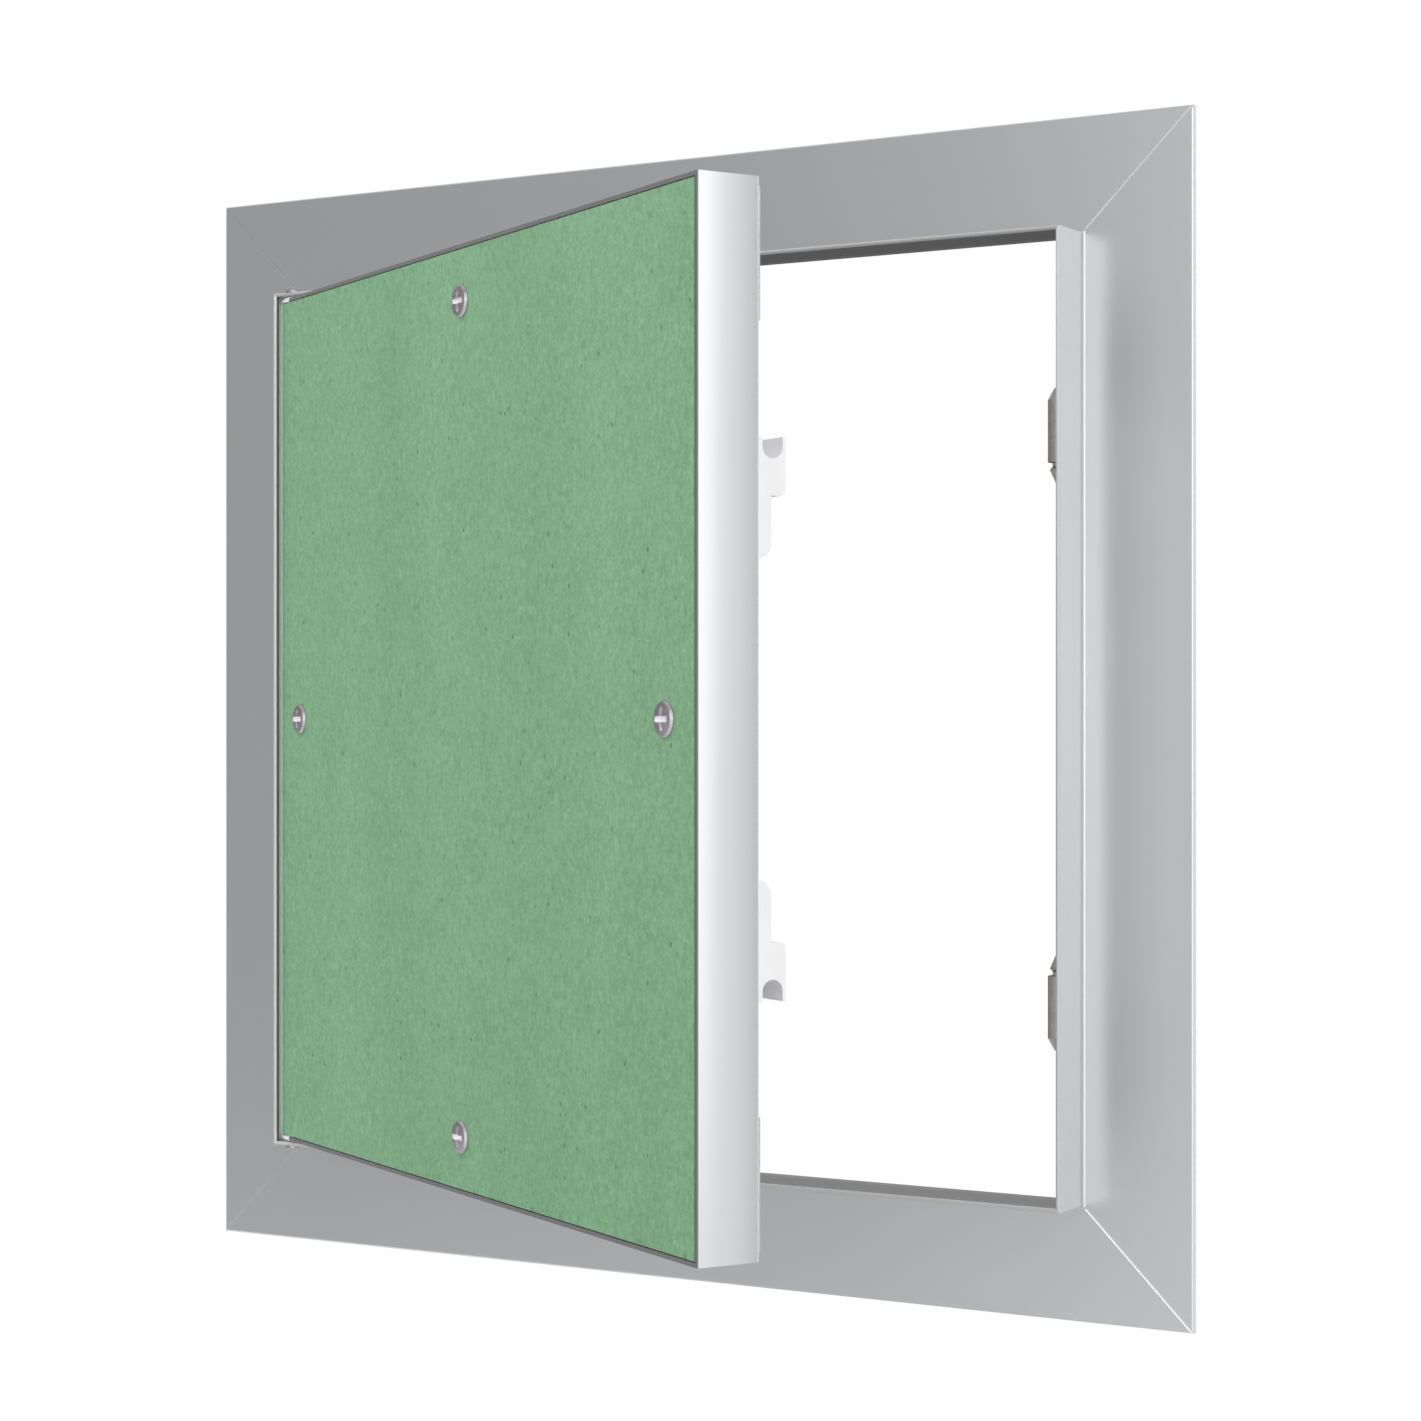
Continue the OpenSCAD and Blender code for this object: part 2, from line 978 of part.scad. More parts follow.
frame_top();
frame_bottom();
frame_left();
frame_right();
corner_key_top_right();
corner_key_top_left();
corner_key_bottom_left();
corner_key_bottom_right();
key_screws();
hinge_pin_upper();
hinge_pin_lower();
catch_body_upper();
catch_body_lower();
catch_plunger_upper();
catch_plunger_lower();
catch_spring_upper();
catch_spring_lower();
slot_nut_upper();
slot_nut_lower();
catch_screws();
door_edge_top();
door_edge_bottom();
door_edge_left();
door_edge_right();
door_plate_top_right();
door_plate_top_left();
door_plate_bottom_left();
door_plate_bottom_right();
plate_screws();
board_core();
board_face_paper();
board_back_paper();
board_screws();
hinge_bush_upper();
hinge_bush_lower();
strike_upper();
strike_lower();
strike_screws();
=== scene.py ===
# %% [markdown]
# Access panel with its door ajar.
# The solids of the panel come in as a fixed frame, already at their real size and in their real place, in metres.
# This lesson dresses them: it sets a camera and a white studio, gives every piece its own finish, and adds the few
# small forms that are easier to work out as surfaces than as solids. X runs to the right as seen from the room,
# Y runs into the void behind the panel and Z runs up.

# %% Load the panel
import math

import bpy
import numpy as np
from mathutils import Matrix, Vector


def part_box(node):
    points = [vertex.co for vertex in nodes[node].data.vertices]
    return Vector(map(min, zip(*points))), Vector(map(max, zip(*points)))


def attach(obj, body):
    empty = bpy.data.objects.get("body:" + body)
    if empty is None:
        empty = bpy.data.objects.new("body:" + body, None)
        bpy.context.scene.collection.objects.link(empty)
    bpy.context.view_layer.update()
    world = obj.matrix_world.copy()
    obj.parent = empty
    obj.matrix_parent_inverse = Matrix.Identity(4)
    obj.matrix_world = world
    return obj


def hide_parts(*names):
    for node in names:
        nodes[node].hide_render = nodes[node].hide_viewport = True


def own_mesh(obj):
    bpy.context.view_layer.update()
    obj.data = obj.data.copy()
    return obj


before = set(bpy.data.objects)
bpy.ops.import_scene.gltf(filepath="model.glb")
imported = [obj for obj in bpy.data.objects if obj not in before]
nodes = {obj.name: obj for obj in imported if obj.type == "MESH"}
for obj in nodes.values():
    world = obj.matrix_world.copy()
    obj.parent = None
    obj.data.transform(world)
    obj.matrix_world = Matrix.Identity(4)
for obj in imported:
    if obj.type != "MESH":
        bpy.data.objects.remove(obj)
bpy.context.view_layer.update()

# %% [markdown]
# The camera.
# The view is a long lens at mid height, about thirty degrees to the right of straight on. A camera can be placed by
# eye, but four corners of the flange and four corners of the door fix it better: one distance, one turn and one lens
# put all eight where they belong. The lens is slightly raised, which is what the small vertical shift says.

# %% Place the camera
IMAGE_PIXELS = 1421
FOCAL_PIXELS = 3042.2
HORIZON_PIXELS = 719.1
VIEW_TURN = math.radians(29.951)
VIEW_DISTANCE = 0.6825
VIEW_AIM_X = 0.01181
SENSOR_WIDTH = 36.0
NEAREST_SEEN = 0.01

camera_data = bpy.data.cameras.new("panel_camera")
camera_data.sensor_width = SENSOR_WIDTH
camera_data.lens = FOCAL_PIXELS / IMAGE_PIXELS * SENSOR_WIDTH
camera_data.shift_y = (HORIZON_PIXELS - IMAGE_PIXELS / 2) / IMAGE_PIXELS
camera_data.clip_start = NEAREST_SEEN
camera = bpy.data.objects.new("panel_camera", camera_data)
camera.location = (VIEW_AIM_X + VIEW_DISTANCE * math.sin(VIEW_TURN), -VIEW_DISTANCE * math.cos(VIEW_TURN), 0)
camera.rotation_euler = (math.radians(90), 0, VIEW_TURN)
bpy.context.scene.collection.objects.link(camera)
bpy.context.scene.camera = camera
bpy.context.scene.view_settings.view_transform = "Standard"
print("camera at", [round(v, 4) for v in camera.location], "lens", round(camera_data.lens, 2), "mm")

# %% [markdown]
# Surfaces from arrays.
# Every new form below is a grid: a function of two parameters is worked out for the whole grid at once, and the grid
# becomes a mesh in one step. Modelling by hand would also do, but a formula keeps the form smooth and easy to change.

# %% Turn a grid of points into a mesh


def surface(name, points, closed_across=False):
    """A mesh over a grid of points: rows run along the first parameter and columns along the second.
    The last column joins the first one where the section is a closed loop, and both end rows are then capped."""
    rows, columns = points.shape[:2]
    index = np.arange(rows * columns).reshape(rows, columns)
    if closed_across:
        index = np.concatenate([index, index[:, :1]], axis=1)
    quads = np.stack([index[:-1, :-1], index[:-1, 1:], index[1:, 1:], index[1:, :-1]], axis=-1).reshape(-1, 4)
    faces = quads.tolist()
    if closed_across:
        faces += [index[0, :-1][::-1].tolist(), index[-1, :-1].tolist()]
    mesh = bpy.data.meshes.new(name)
    mesh.from_pydata(points.reshape(-1, 3).tolist(), [], faces)
    mesh.polygons.foreach_set("use_smooth", np.ones(len(mesh.polygons), bool))
    mesh.update()
    made = bpy.data.objects.new(name, mesh)
    bpy.context.scene.collection.objects.link(made)
    print(name, len(mesh.vertices), "points", len(mesh.polygons), "faces")
    return made


# %% [markdown]
# Finishes from nodes.
# A finish is a shader fed by a few textures, and each texture is a node. The nodes could be laid out by hand in the
# shader editor, but these helpers keep each recipe to a few lines: one makes the bare finish, one joins two sockets,
# one does a sum, and one gives the finish to pieces of the panel.

# %% Helpers for finishes


def node_adder(material):
    """A function that adds a node to the material and sets what it is told."""
    def add(kind, **settings):
        node = material.node_tree.nodes.new(kind)
        for key, value in settings.items():
            setattr(node, key, value)
        return node

    return add


def bare_finish(name):
    """A material with one principled shader: gives back the material, a function that adds nodes, and the shader."""
    material = bpy.data.materials.new(name)
    material.use_nodes = True
    return material, node_adder(material), material.node_tree.nodes["Principled BSDF"]


def link(material, source, target):
    """Joins an output socket to an input socket."""
    material.node_tree.links.new(source, target)


def calculate(material, add, operation, first, second):
    """A sum worked out on two fields, or on a field and a number."""
    node = add("ShaderNodeMath", operation=operation)
    link(material, first, node.inputs[0])
    if isinstance(second, bpy.types.NodeSocket):
        link(material, second, node.inputs[1])
    else:
        node.inputs[1].default_value = second
    return node.outputs[0]


def dress(material, *names):
    """Gives a material to pieces of the panel by name."""
    for name in names:
        nodes[name].data.materials.clear()
        nodes[name].data.materials.append(material)
    print(material.name, "on", ", ".join(names))


# %% [markdown]
# Textures.
# The textures read the object's own coordinates, which do not slide when the camera moves. A noise is spread into a
# range of values, a colour or a relief. Pictures would also do, but a noise stays sharp at any distance.

# %% Helpers for textures


def own_coordinates(material, add, scale=(1, 1, 1), turn=0.0):
    """The object's own coordinates, turned about Z and then scaled along each axis."""
    place = add("ShaderNodeMapping", vector_type="POINT")
    place.inputs["Rotation"].default_value = (0, 0, turn)
    stretch = add("ShaderNodeVectorMath", operation="MULTIPLY")
    stretch.inputs[1].default_value = scale
    link(material, add("ShaderNodeTexCoord").outputs["Object"], place.inputs["Vector"])
    link(material, place.outputs["Vector"], stretch.inputs[0])
    return stretch.outputs["Vector"]


def noise(material, add, coordinates, scale, detail=3.0, roughness=0.5):
    """A soft random field from 0 to 1, with so many waves to the metre."""
    field = add("ShaderNodeTexNoise")
    field.inputs["Scale"].default_value = scale
    field.inputs["Detail"].default_value = detail
    field.inputs["Roughness"].default_value = roughness
    link(material, coordinates, field.inputs["Vector"])
    return field.outputs["Fac"]


def set_range(remap, start, end, low, high):
    """Makes a range node turn values from start to end into values from low to high."""
    for socket, value in (("From Min", start), ("From Max", end), ("To Min", low), ("To Max", high)):
        remap.inputs[socket].default_value = value


def spread(material, add, field, low, high, start=0.3, end=0.7):
    """The field's middle range from start to end, turned into values from low to high."""
    remap = add("ShaderNodeMapRange", clamp=True)
    set_range(remap, start, end, low, high)
    link(material, field, remap.inputs["Value"])
    return remap.outputs["Result"]


def tint(material, add, field, first, second, start=0.3, end=0.7):
    """A colour that runs from the first to the second as the field runs from start to end."""
    ramp = add("ShaderNodeValToRGB")
    ramp.color_ramp.elements[0].position = start
    ramp.color_ramp.elements[0].color = (*first, 1)
    ramp.color_ramp.elements[1].position = end
    ramp.color_ramp.elements[1].color = (*second, 1)
    link(material, field, ramp.inputs["Fac"])
    return ramp.outputs["Color"]


def over(material, add, amount, under_colour, over_colour, blend="MIX"):
    """One colour laid over another by an amount from 0 to 1."""
    mix = add("ShaderNodeMix", data_type="RGBA", blend_type=blend)
    for socket, value in ((mix.inputs[0], amount), (mix.inputs[6], under_colour), (mix.inputs[7], over_colour)):
        if isinstance(value, bpy.types.NodeSocket):
            link(material, value, socket)
        else:
            socket.default_value = value if isinstance(value, float) else (*value, 1)
    return mix.outputs[2]


def relief(material, add, field, depth, shader, base=None):
    """Raises the surface by a field times a depth in metres, on top of an earlier relief where there is one."""
    bump = add("ShaderNodeBump")
    bump.inputs["Strength"].default_value = 1.0
    bump.inputs["Distance"].default_value = depth
    link(material, field, bump.inputs["Height"])
    if base is not None:
        link(material, base, bump.inputs["Normal"])
    link(material, bump.outputs["Normal"], shader.inputs["Normal"])
    return bump.outputs["Normal"]


def times(colour, factor):
    """A colour made lighter or darker by a factor."""
    return tuple(min(1.0, channel * factor) for channel in colour)


# %% [markdown]
# Finishes that change with the place.
# The metal takes other tones in a few places: painted highlights on roundings, rims and screw recesses, painted shade
# and a painted reflection in a narrow gap, and painted light and painted shade on the front of the door's edge. The
# next helpers find such places by how far a point lies along a direction, and let the metal turn matt there. Painted
# vertices would also do, but a distance stays sharp on any mesh.

# %% Helpers for places


def distance_along(material, add, direction):
    """How far a point of the object lies along a direction: their dot product."""
    dot = add("ShaderNodeVectorMath", operation="DOT_PRODUCT")
    dot.inputs[1].default_value = direction
    link(material, own_coordinates(material, add), dot.inputs[0])
    return dot.outputs["Value"]


def between(material, add, field, low, high, fade):
    """One where a field lies between two values and zero elsewhere, with a soft step at both ends."""
    rise = spread(material, add, field, 0, 1, low - fade, low + fade)
    fall = spread(material, add, field, 1, 0, high - fade, high + fade)
    return calculate(material, add, "MULTIPLY", rise, fall)


def band(material, add, direction, low, high, fade):
    """One between two distances along a direction and zero outside them, with a soft step at both ends."""
    return between(material, add, distance_along(material, add, direction), low, high, fade)


def turn_matt(material, add, shader, where, tone, least_metal):
    """Lets a metal take a matt tone where a field is one, and keeps a share of its metal there."""
    body = shader.inputs["Base Color"].links[0].from_socket
    link(material, over(material, add, where, body, tone), shader.inputs["Base Color"])
    metal = spread(material, add, where, 1.0, least_metal, 0, 1)
    if shader.inputs["Metallic"].is_linked:
        metal = calculate(material, add, "MINIMUM", shader.inputs["Metallic"].links[0].from_socket, metal)
    link(material, metal, shader.inputs["Metallic"])


# %% [markdown]
# The white studio.
# The background is plain white at strength one for the eye and for what metal mirrors, and a weaker dome does the
# lighting. The dome gives more light from above than from below, so undersides turn grey. One white world for all
# would be simpler, but it would light the panel too evenly.

# %% World
DOME_ABOVE = 0.95
DOME_BELOW = 0.40
DOME_FADE = 0.5
WHITE = (1, 1, 1, 1)


def seen_directly(tree):
    """One where a ray comes from the camera, from a mirror-like bounce or through glass, and zero elsewhere."""
    path = tree.nodes.new("ShaderNodeLightPath")
    first = tree.nodes.new("ShaderNodeMath")
    second = tree.nodes.new("ShaderNodeMath")
    first.operation = second.operation = "MAXIMUM"
    tree.links.new(path.outputs["Is Camera Ray"], first.inputs[0])
    tree.links.new(path.outputs["Is Glossy Ray"], first.inputs[1])
    tree.links.new(first.outputs[0], second.inputs[0])
    tree.links.new(path.outputs["Is Transmission Ray"], second.inputs[1])
    return second.outputs[0]


studio = bpy.data.worlds.new("white_studio")
studio.use_nodes = True
bpy.context.scene.world = studio
sky = studio.node_tree
dome = sky.nodes["Background"]
dome.inputs["Color"].default_value = WHITE
toward = sky.nodes.new("ShaderNodeTexCoord")
split = sky.nodes.new("ShaderNodeSeparateXYZ")
fade = sky.nodes.new("ShaderNodeMapRange")
set_range(fade, -DOME_FADE, DOME_FADE, DOME_BELOW, DOME_ABOVE)
sky.links.new(toward.outputs["Generated"], split.inputs["Vector"])
sky.links.new(split.outputs["Z"], fade.inputs["Value"])
sky.links.new(fade.outputs["Result"], dome.inputs["Strength"])
white = sky.nodes.new("ShaderNodeBackground")
white.inputs["Color"].default_value = WHITE
white.inputs["Strength"].default_value = 1.0
choose = sky.nodes.new("ShaderNodeMixShader")
sky.links.new(seen_directly(sky), choose.inputs["Fac"])
sky.links.new(dome.outputs["Background"], choose.inputs[1])
sky.links.new(white.outputs["Background"], choose.inputs[2])
sky.links.new(choose.outputs["Shader"], sky.nodes["World Output"].inputs["Surface"])
print("dome from", DOME_BELOW, "below to", DOME_ABOVE, "above")

# %% [markdown]
# The floor.
# The panel hangs in a board, so the pale floor lies well below it and only catches its soft shadow. It is a disc that
# fades out at its rim into the white around it, and it is clear from below. A large plane would also do, but its far
# edge would show.

# %% Floor
FLOOR_LEVEL = -0.45
FLOOR_RADIUS = 1.1
FLOOR_SOLID = 0.45
FLOOR_HOLE = 0.01
FLOOR_RINGS = 12
FLOOR_SPOKES = 65
FLOOR_GLOW = 0.70
FLOOR_PAINT = 0.32
FLOOR_ROUGHNESS = 0.9


def floor_disc():
    """A flat disc that faces up: the radius grows along one parameter, the angle goes once round along the other."""
    radius = np.linspace(FLOOR_HOLE, FLOOR_RADIUS, FLOOR_RINGS)[:, None]
    angle = np.linspace(2 * np.pi, 0, FLOOR_SPOKES)[None, :]
    level = np.full((FLOOR_RINGS, FLOOR_SPOKES), FLOOR_LEVEL)
    return surface("floor", np.stack([radius * np.cos(angle), radius * np.sin(angle), level], axis=-1))


def pale_floor_paint():
    """Matte paint with a glow where it is seen directly, so that it is as pale as the background. It fades out between
    its solid middle and its rim, and its underside is clear."""
    material, add, shader = bare_finish("floor_paint")
    tree = material.node_tree
    shader.inputs["Base Color"].default_value = (FLOOR_PAINT, FLOOR_PAINT, FLOOR_PAINT, 1)
    shader.inputs["Roughness"].default_value = FLOOR_ROUGHNESS
    shader.inputs["Emission Color"].default_value = WHITE
    glow = calculate(material, add, "MULTIPLY", seen_directly(tree), FLOOR_GLOW)
    link(material, glow, shader.inputs["Emission Strength"])
    reach = add("ShaderNodeVectorMath", operation="LENGTH")
    link(material, own_coordinates(material, add, (1, 1, 0)), reach.inputs[0])
    faded = spread(material, add, reach.outputs["Value"], 0, 1, FLOOR_SOLID, FLOOR_RADIUS)
    clear = calculate(material, add, "MAXIMUM", faded, add("ShaderNodeNewGeometry").outputs["Backfacing"])
    rim = add("ShaderNodeMixShader")
    link(material, clear, rim.inputs["Fac"])
    link(material, shader.outputs["BSDF"], rim.inputs[1])
    link(material, add("ShaderNodeBsdfTransparent").outputs["BSDF"], rim.inputs[2])
    link(material, rim.outputs["Shader"], tree.nodes["Material Output"].inputs["Surface"])
    return material


floor = floor_disc()
floor.data.materials.append(pale_floor_paint())

# %% [markdown]
# Lamps and cards.
# Satin metal shows what stands around it, so its tones come from large soft lamps and from grey cards, as in a
# photographer's studio. Lamps on the right whiten the lip and the door's free edge, and two smaller ones above and
# below pick out the mitres; these four only show in reflections. The board and the nylon are matte, so they have lamps
# of their own, which are kept out of the reflections. Cards on the left give the flange its grey, a card on the right
# lets the free edge fade, cards behind darken the inside of the opening, and two cards in front, above and below, calm
# the mitres on the left. A lamp adds to the white behind it, so the mirrored lamps are weak.

# %% Place lamps and cards
CARD_COLUMNS = 24
CARD_ROWS = 6


def soft_lamp(name, turn, lift, distance, size, radiance, mirrored):
    """A flat lamp aimed at the panel, either for reflections or for matte pieces. Turn is measured in degrees from
    straight in front, positive to the right, and lift in degrees above level. The power of a flat lamp is its radiance
    times pi times its area."""
    data = bpy.data.lights.new(name, "AREA")
    data.shape = "RECTANGLE"
    data.size, data.size_y = size
    data.energy = radiance * math.pi * size[0] * size[1]
    lamp = bpy.data.objects.new(name, data)
    turn, lift = math.radians(turn), math.radians(lift)
    place = distance * Vector((math.sin(turn) * math.cos(lift), -math.cos(turn) * math.cos(lift), math.sin(lift)))
    lamp.location = place
    lamp.rotation_euler = (-place).to_track_quat("-Z", "Y").to_euler()
    lamp.visible_camera = False
    lamp.visible_glossy, lamp.visible_diffuse = mirrored, not mirrored
    bpy.context.scene.collection.objects.link(lamp)
    print(name, [round(v, 2) for v in place], "power", round(data.energy, 2))


def grey_card(name, turns, heights, distance, tone):
    """Part of an upright cylinder round the panel: the turn runs along one parameter, the height along the other."""
    turn = np.radians(np.linspace(*turns, CARD_COLUMNS))[:, None]
    height = np.linspace(*heights, CARD_ROWS)[None, :]
    level = np.ones_like(height)
    grid = np.stack([np.sin(turn) * distance * level, -np.cos(turn) * distance * level, height + 0 * turn], axis=-1)
    card = surface(name, grid)
    paint, _, shader = bare_finish(name + "_paint")
    shader.inputs["Base Color"].default_value = (0, 0, 0, 1)
    shader.inputs["Specular IOR Level"].default_value = 0
    shader.inputs["Emission Color"].default_value = WHITE
    shader.inputs["Emission Strength"].default_value = tone
    card.data.materials.append(paint)
    card.visible_camera = card.visible_diffuse = card.visible_shadow = False


soft_lamp("lip_lamp", turn=20, lift=8, distance=1.75, size=(1.1, 1.8), radiance=1.1, mirrored=True)
soft_lamp("edge_lamp", turn=60, lift=17, distance=1.75, size=(1.4, 1.8), radiance=0.6, mirrored=True)
soft_lamp("upper_mitre_lamp", turn=78, lift=58, distance=1.6, size=(0.9, 0.9), radiance=2.4, mirrored=True)
soft_lamp("lower_mitre_lamp", turn=78, lift=-58, distance=0.5, size=(0.28, 0.28), radiance=1.6, mirrored=True)
soft_lamp("board_lamp", turn=-48, lift=36, distance=1.4, size=(1.4, 1.4), radiance=1.68, mirrored=False)
soft_lamp("nylon_lamp", turn=85, lift=18, distance=1.6, size=(1.5, 1.5), radiance=1.55, mirrored=False)
grey_card("left_front_card", turns=(-76, -20), heights=(-0.88, 2.4), distance=3.0, tone=0.488)
grey_card("left_side_card", turns=(-104, -76), heights=(-1.1, 2.2), distance=3.0, tone=0.24)
grey_card("left_back_card", turns=(-140, -104), heights=(-1.0, 1.0), distance=3.0, tone=0.35)
grey_card("right_back_card", turns=(97, 153), heights=(-1.8, 1.8), distance=2.5, tone=0.65)
grey_card("low_back_card", turns=(184, 234), heights=(-1.6, 0.1), distance=1.4, tone=0.03)
grey_card("high_back_card", turns=(184, 234), heights=(0.1, 1.2), distance=1.4, tone=0.34)
grey_card("upper_mitre_card", turns=(-25, 45), heights=(1.1, 3.6), distance=1.0, tone=0.25)
grey_card("lower_mitre_card", turns=(-60, 40), heights=(-0.44, -0.24), distance=0.13, tone=0.25)

# %% [markdown]
# Satin aluminium.
# The members of the frame are cut from one extrusion, so the fine drawing lines run along each member: up and down on
# the sides, across on the top and bottom. One recipe makes both, with the noise stretched along a chosen axis. A
# scratch picture would do the same, but a noise has no seams and no edge.

# %% Satin recipe
DRAWN_ALONG = 0.006
DRAWN_LINES = 5200
DRAWN_SHADE = (0.98, 0.98, 0.98)
DRAWN_SHARE = 0.55
DRAWN_RELIEF = 0.0000002
METAL_CLOUDS = 14
CLOUD_SHADE = 0.015
POLISH_SHADE = 0.01


def satin_aluminium(name, tone, along, roughness, turn=0.0):
    """Aluminium with drawing lines along one axis, soft clouds in tone, and lines that shift the polish and raise a
    barely felt grain."""
    material, add, shader = bare_finish(name)
    stretch = [1.0, 1.0, 1.0]
    stretch[along] = DRAWN_ALONG
    lines = noise(material, add, own_coordinates(material, add, stretch, turn), DRAWN_LINES, 2)
    clouds = noise(material, add, own_coordinates(material, add, (1, 1, 1), turn), METAL_CLOUDS, 4)
    clouded = tint(material, add, clouds, times(tone, 1 - CLOUD_SHADE), times(tone, 1 + CLOUD_SHADE))
    lined = tint(material, add, lines, DRAWN_SHADE, (1, 1, 1))
    link(material, over(material, add, DRAWN_SHARE, clouded, lined, "MULTIPLY"), shader.inputs["Base Color"])
    polish = spread(material, add, lines, roughness - POLISH_SHADE, roughness + POLISH_SHADE)
    link(material, polish, shader.inputs["Roughness"])
    shader.inputs["Metallic"].default_value = 1.0
    normal = relief(material, add, lines, DRAWN_RELIEF, shader)
    return material, add, shader, normal


# %% [markdown]
# The frame.
# The nose and the root of the lip take a pale matt tone as painted highlights, and the nose's tone differs on each side
# as the light falls there. Inside the lip at the hinge side lies painted shade in the narrow gap, with a painted
# reflection of the door's pale edge behind it, and the rim of the right-hand member is paler than its face as a painted
# highlight. All are found by how far a point stands in front of the flange or to the right of the middle.

# %% Frame finish
FRAME_TONE = (0.578, 0.583, 0.592)
FRAME_ROUGHNESS = 0.3
FORWARD = (0, -1, 0)
RIGHTWARD = (1, 0, 0)
LIP_HEIGHT = 0.0125
LIP_INSIDE = 0.101
RIM_X = 0.1264
# The nose and root tones are painted highlights; the nose tone differs on each side as the light falls there.
NOSE_HIGHLIGHT_TONES = {"left": 0.68, "right": 0.56, "top": 0.42, "bottom": 0.60}
NOSE_DEEP = 0.0006
NOSE_FADE = 0.0002
NOSE_METAL = 0.2
ROOT_HIGHLIGHT_TONE = (0.56, 0.565, 0.575)
ROOT_HEIGHTS = (0.0001, 0.0006)
ROOT_FADE = 0.00005
ROOT_METAL = 0.15
# The rim tone is a painted highlight on the outer edge of the right-hand member.
RIM_HIGHLIGHT_TONE = (0.68, 0.68, 0.68)
RIM_DEPTHS = (0.0001, 0.001)
RIM_FADE = 0.00005
RIM_METAL = 0.2
# Inside the lip at the hinge side: a painted reflection of the door's pale edge, and painted shade in the narrow gap.
EDGE_PAINTED_REFLECTION_TONE = (0.56, 0.64, 0.57)
EDGE_PAINTED_REFLECTION_DEPTHS = (0.0025, 0.0012)
GAP_PAINTED_SHADE_TONE = (0.10, 0.104, 0.104)
GAP_PAINTED_SHADE_DEPTHS = (0.0012, 0.0005)
GAP_FADE = 0.0001
GAP_METAL = 0.3
INSIDE_SLACK = 0.00004
INSIDE_FADE = 0.00002


def frame_finish(name, along, nose_highlight_tone, hinge_gap_painted, rim_highlight):
    """Satin aluminium whose lip has a matt nose and a matt root, both painted highlights. Where the door is hinged, the
    inside of the lip has painted shade in front and a painted reflection of the door's pale edge behind that. The rim
    can take a painted highlight too."""
    material, add, shader, _ = satin_aluminium(name, FRAME_TONE, along, FRAME_ROUGHNESS)
    # Painted highlights on the nose and the root of the lip.
    nose = band(material, add, FORWARD, LIP_HEIGHT - NOSE_DEEP, 2 * LIP_HEIGHT, NOSE_FADE)
    turn_matt(material, add, shader, nose, nose_highlight_tone, NOSE_METAL)
    root = band(material, add, FORWARD, *ROOT_HEIGHTS, ROOT_FADE)
    turn_matt(material, add, shader, root, ROOT_HIGHLIGHT_TONE, ROOT_METAL)
    # Painted reflection of the door's edge and painted shade in the gap inside the hinge-side lip.
    if hinge_gap_painted:
        facing = band(material, add, RIGHTWARD, -LIP_INSIDE - INSIDE_SLACK, 0, INSIDE_FADE)
        for tone, (back, front) in ((EDGE_PAINTED_REFLECTION_TONE, EDGE_PAINTED_REFLECTION_DEPTHS), (GAP_PAINTED_SHADE_TONE, GAP_PAINTED_SHADE_DEPTHS)):
            deep = band(material, add, FORWARD, LIP_HEIGHT - back, LIP_HEIGHT - front, GAP_FADE)
            inside = calculate(material, add, "MULTIPLY", facing, deep)
            turn_matt(material, add, shader, inside, tone, GAP_METAL)
    # Painted highlight on the rim of the right-hand member.
    if rim_highlight:
        rim = band(material, add, RIGHTWARD, RIM_X - RIM_DEPTHS[0], RIM_X + RIM_DEPTHS[1], RIM_FADE)
        turn_matt(material, add, shader, rim, RIM_HIGHLIGHT_TONE, RIM_METAL)
    return material


for side, tone in NOSE_HIGHLIGHT_TONES.items():
    along = 2 if side in ("left", "right") else 0
    finish = frame_finish("frame_satin_" + side, along, (tone, tone, tone), side == "left", side == "right")
    dress(finish, "frame_" + side)

# %% [markdown]
# The edge of the door.
# The door stands open, so its own directions are turned about the hinge. The wall of the edge profile is very slightly
# crowned, as rolled or drawn walls are, and so a lamp fades across it from white to grey. A crown of a few tenths of a
# millimetre is too little to draw in the outline, and the relief gives it: its height falls with the square of the
# distance from the middle of the wall. The front of the profile is matt in a painted tone: pale painted light on the
# hinge side, dark painted shade of the shadow gap on the free side and across. The mill-finished leg on the back is
# matt.

# %% Door edge finish
DOOR_TURN = math.radians(30)
HINGE = Vector((-0.0972, -0.0107, 0.0))
EDGE_TONE = (0.66, 0.665, 0.675)
EDGE_ROUGHNESS = 0.24
# Tones of the front of the profile: painted light on the hinge side, painted shade of the shadow gap on the free side
# and across.
HINGE_RETURN_PAINTED_LIGHT = (0.92, 0.99, 0.93)
FREE_RETURN_PAINTED_SHADE = (0.19, 0.195, 0.19)
ACROSS_RETURN_PAINTED_SHADE = (0.20, 0.20, 0.21)
RETURN_DEPTHS = (-0.001, 0.0002)
RETURN_FADE = 0.0001
RETURN_METAL = 0.15
LEG_TONE = (0.74, 0.745, 0.755)
LEG_DEPTHS = (0.0004, 0.003)
LEG_FADE = 0.0002
LEG_METAL = 0.05
CROWN = 8.0
WALL_MIDDLE_Y = -0.00585
door_into = Vector((math.sin(DOOR_TURN), math.cos(DOOR_TURN), 0))
door_front = HINGE.dot(door_into) - HINGE.y - LIP_HEIGHT


def crown_height(material, add):
    """Minus the square of the distance from the middle of the wall, times the crown: the height of a shallow arch."""
    middle = HINGE.dot(door_into) + WALL_MIDDLE_Y - HINGE.y
    offset = calculate(material, add, "SUBTRACT", distance_along(material, add, door_into), middle)
    square = calculate(material, add, "MULTIPLY", offset, offset)
    return calculate(material, add, "MULTIPLY", square, -CROWN)


